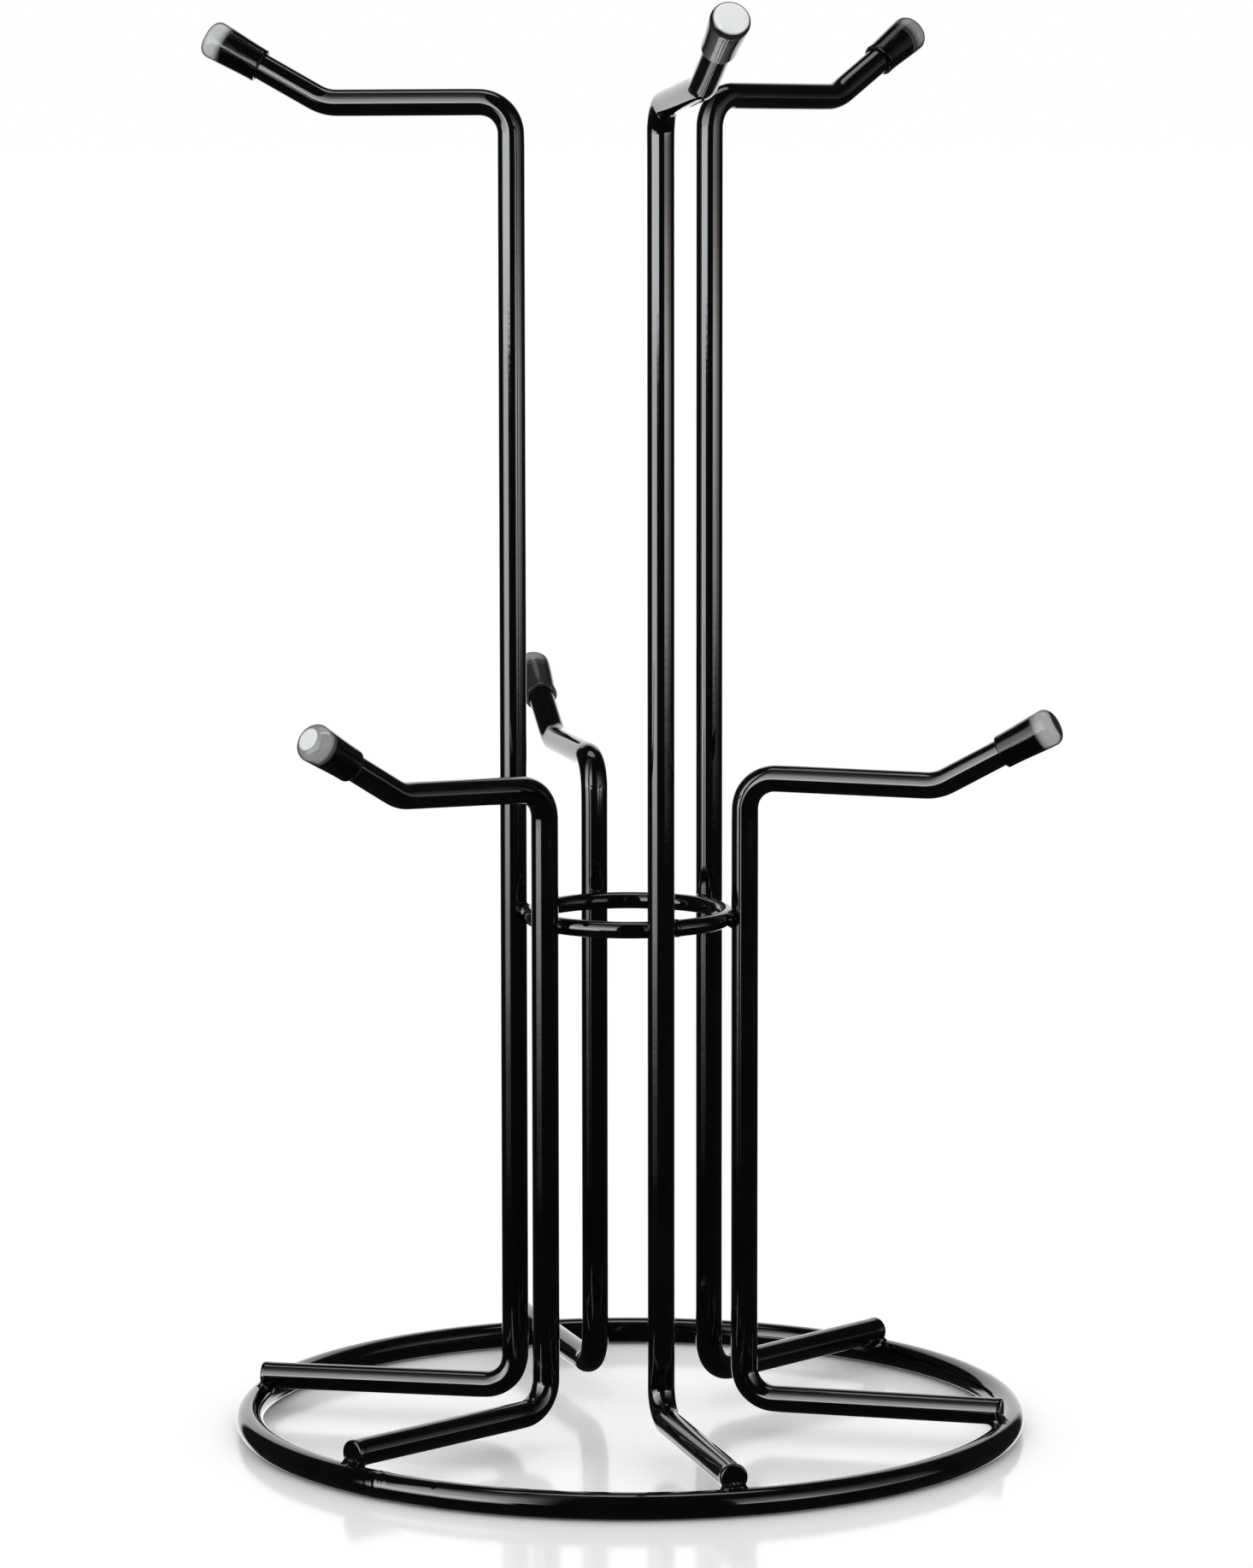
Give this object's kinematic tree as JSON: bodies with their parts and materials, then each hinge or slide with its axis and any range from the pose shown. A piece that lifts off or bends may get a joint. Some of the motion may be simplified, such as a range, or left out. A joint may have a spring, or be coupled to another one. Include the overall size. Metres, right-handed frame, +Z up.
{
  "type": "mug tree",
  "caption": "Free-standing wire mug tree: bent wire arms at two heights on a wire base ring, tied by a middle ring, with a clear push-on cap on each arm tip.",
  "frame": {"origin": "on the floor at the centre of the base ring", "axes": "+Z up, -Y towards the front tall arm, +X to its right seen from the front"},
  "size_m": [0.1779, 0.1944, 0.321],
  "materials": {
    "black_coat": "gloss black coating over steel wire",
    "clear_vinyl": "clear soft vinyl, slightly milky where it is thick"
  },
  "bodies": {
    "stand": {"base_ring": "black_coat", "base_ring_seam_weld": "black_coat", "middle_ring": "black_coat", "middle_ring_seam_weld": "black_coat", "wire_tall_front": "black_coat", "foot_weld_tall_front": "black_coat", "ring_weld_tall_front": "black_coat", "wire_tall_right": "black_coat", "foot_weld_tall_right": "black_coat", "ring_weld_tall_right": "black_coat", "wire_tall_left": "black_coat", "foot_weld_tall_left": "black_coat", "ring_weld_tall_left": "black_coat", "wire_short_back": "black_coat", "foot_weld_short_back": "black_coat", "ring_weld_short_back": "black_coat", "wire_short_left": "black_coat", "foot_weld_short_left": "black_coat", "ring_weld_short_left": "black_coat", "wire_short_right": "black_coat", "foot_weld_short_right": "black_coat", "ring_weld_short_right": "black_coat"},
    "cap_tall_front": {"tip_cap_tall_front": "clear_vinyl"},
    "cap_tall_right": {"tip_cap_tall_right": "clear_vinyl"},
    "cap_tall_left": {"tip_cap_tall_left": "clear_vinyl"},
    "cap_short_back": {"tip_cap_short_back": "clear_vinyl"},
    "cap_short_left": {"tip_cap_short_left": "clear_vinyl"},
    "cap_short_right": {"tip_cap_short_right": "clear_vinyl"}
  },
  "joints": [
    {"name": "pull_cap_tall_front", "type": "slide", "parent": "stand", "child": "cap_tall_front", "axis": [-0.0686, -0.8719, 0.4848], "range_m": [0, 0.016]},
    {"name": "pull_cap_tall_right", "type": "slide", "parent": "stand", "child": "cap_tall_right", "axis": [0.7612, 0.4307, 0.4848], "range_m": [0, 0.016]},
    {"name": "pull_cap_tall_left", "type": "slide", "parent": "stand", "child": "cap_tall_left", "axis": [-0.7827, 0.3903, 0.4848], "range_m": [0, 0.016]},
    {"name": "pull_cap_short_back", "type": "slide", "parent": "stand", "child": "cap_short_back", "axis": [0.061, 0.8725, 0.4848], "range_m": [0, 0.016]},
    {"name": "pull_cap_short_left", "type": "slide", "parent": "stand", "child": "cap_short_left", "axis": [-0.765, -0.424, 0.4848], "range_m": [0, 0.016]},
    {"name": "pull_cap_short_right", "type": "slide", "parent": "stand", "child": "cap_short_right", "axis": [0.7335, -0.4764, 0.4848], "range_m": [0, 0.016]}
  ]
}
